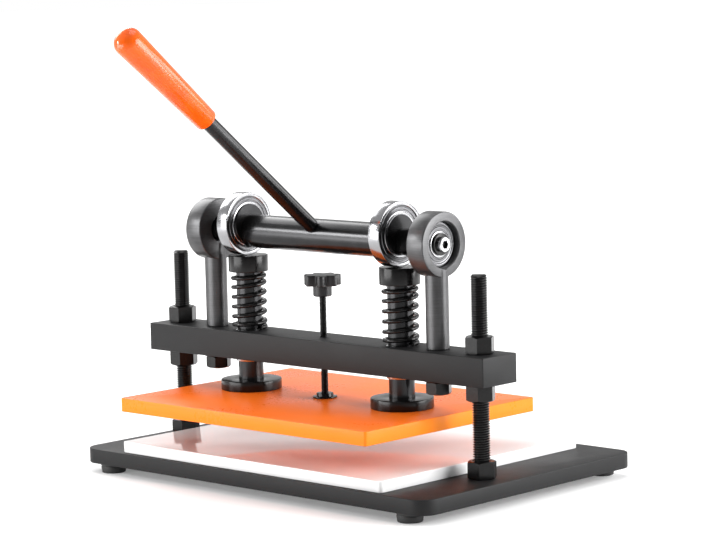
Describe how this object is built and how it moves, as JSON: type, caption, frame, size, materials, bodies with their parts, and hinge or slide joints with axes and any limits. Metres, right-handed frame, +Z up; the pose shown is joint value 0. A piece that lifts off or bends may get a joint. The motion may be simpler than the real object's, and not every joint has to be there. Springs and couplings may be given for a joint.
{
  "type": "manual die cutting press",
  "caption": "Bench press for cutting dies: a lever turns an eccentric shaft whose bearing wheels push a spring-returned plate down onto a cutting board.",
  "frame": {"origin": "middle of the cutting board's top face, in the plane of the two columns", "axes": "+X to the operator's right along the shaft, +Y away from the operator, +Z up out of the board"},
  "size_m": [0.502, 0.4867, 0.4877],
  "materials": {
    "grey_paint": "fine textured satin powder coat",
    "orange_paint": "glossy enamel",
    "white_board": "polished sheet",
    "rubber": "matt moulded",
    "black_steel": "oiled black oxide",
    "black_post": "satin black",
    "black_shaft": "polished black oxide",
    "bright_steel": "ground",
    "bearing_steel": "polished",
    "shield_steel": "satin pressed sheet",
    "orange_grip": "glossy dipped vinyl",
    "black_plastic": "moulded"
  },
  "bodies": {
    "base": {"base_plate": "grey_paint", "cutting_board": "white_board", "rubber_feet": "rubber", "foot_screws": "bright_steel", "left_column": "black_steel", "right_column": "black_steel", "base_nuts": "black_steel"},
    "crosshead": {"cross_beam": "grey_paint", "left_post": "black_post", "right_post": "black_post", "post_nuts": "black_steel", "post_washers": "black_steel", "guide_bushes": "bright_steel", "left_spring": "black_steel", "right_spring": "black_steel", "end_bearing_outer_rings": "shield_steel", "end_bearing_balls": "bearing_steel", "end_bearing_shields": "shield_steel"},
    "eccentric_shaft": {"main_shaft": "black_shaft", "end_bearing_inner_rings": "bearing_steel", "wheel_inner_rings": "bearing_steel", "spacer_sleeves": "black_shaft", "end_washers": "black_steel", "end_bolts": "bright_steel", "lever_rod": "black_shaft", "lever_grip": "orange_grip"},
    "left_wheel": {"left_wheel_outer_ring": "bearing_steel", "left_wheel_balls": "bearing_steel", "left_wheel_shields": "shield_steel"},
    "right_wheel": {"right_wheel_outer_ring": "bearing_steel", "right_wheel_balls": "bearing_steel", "right_wheel_shields": "shield_steel"},
    "press_head": {"press_plate": "orange_paint", "left_plunger": "black_shaft", "right_plunger": "black_shaft", "plunger_collars": "black_steel", "plunger_flanges": "black_steel", "flange_screws": "black_steel"},
    "stop_pad": {"stop_foot": "black_steel"},
    "stop_spindle": {"stop_screw": "black_steel", "stop_knob": "black_plastic"},
    "upper_left_nut": {"upper_left_nut": "black_steel"},
    "upper_right_nut": {"upper_right_nut": "black_steel"},
    "lower_left_nut": {"lower_left_nut": "black_steel"},
    "lower_right_nut": {"lower_right_nut": "black_steel"}
  },
  "joints": [
    {"name": "beam_height", "type": "slide", "parent": "base", "child": "crosshead", "axis": [0, 0, 1], "range_m": [-0.02, 0.04]},
    {"name": "lever_turn", "type": "hinge", "parent": "crosshead", "child": "eccentric_shaft", "pos_m": [0, 0, 0.2225], "axis": [1, 0, 0], "range_deg": [0, 82]},
    {"name": "left_wheel_spin", "type": "hinge", "parent": "eccentric_shaft", "child": "left_wheel", "pos_m": [-0.111, -0.00475, 0.23073], "axis": [1, 0, 0], "continuous": true},
    {"name": "right_wheel_spin", "type": "hinge", "parent": "eccentric_shaft", "child": "right_wheel", "pos_m": [0.111, -0.00475, 0.23073], "axis": [1, 0, 0], "continuous": true},
    {"name": "press_slide", "type": "slide", "parent": "crosshead", "child": "press_head", "axis": [0, 0, -1], "range_m": [0, 0.0118], "stiffness_N_per_m": 36000, "springref_m": -0.012, "deforming": ["left_spring", "right_spring"]},
    {"name": "stop_travel", "type": "slide", "parent": "crosshead", "child": "stop_pad", "axis": [0, 0, 1], "range_m": [0, 0.008]},
    {"name": "stop_turn", "type": "hinge", "parent": "stop_pad", "child": "stop_spindle", "pos_m": [0, 0, 0.115], "axis": [0, 0, 1], "range_deg": [-1, 2305]},
    {"name": "upper_left_nut_turn", "type": "hinge", "parent": "crosshead", "child": "upper_left_nut", "pos_m": [-0.218, 0, 0.115], "axis": [0, 0, 1], "range_deg": [-2881, 5761]},
    {"name": "upper_right_nut_turn", "type": "hinge", "parent": "crosshead", "child": "upper_right_nut", "pos_m": [0.218, 0, 0.115], "axis": [0, 0, 1], "range_deg": [-2881, 5761]},
    {"name": "lower_left_nut_turn", "type": "hinge", "parent": "crosshead", "child": "lower_left_nut", "pos_m": [-0.218, 0, 0.115], "axis": [0, 0, 1], "range_deg": [-2881, 5761]},
    {"name": "lower_right_nut_turn", "type": "hinge", "parent": "crosshead", "child": "lower_right_nut", "pos_m": [0.218, 0, 0.115], "axis": [0, 0, 1], "range_deg": [-2881, 5761]}
  ],
  "couplings": [
    {"joint": "press_slide", "follows": "lever_turn", "m_per_rad": 0.0082352},
    {"joint": "stop_turn", "follows": "stop_travel", "rad_per_m": 5026.5},
    {"joint": "upper_left_nut_turn", "follows": "beam_height", "rad_per_m": 2513.3},
    {"joint": "upper_right_nut_turn", "follows": "beam_height", "rad_per_m": 2513.3},
    {"joint": "lower_left_nut_turn", "follows": "beam_height", "rad_per_m": 2513.3},
    {"joint": "lower_right_nut_turn", "follows": "beam_height", "rad_per_m": 2513.3}
  ]
}
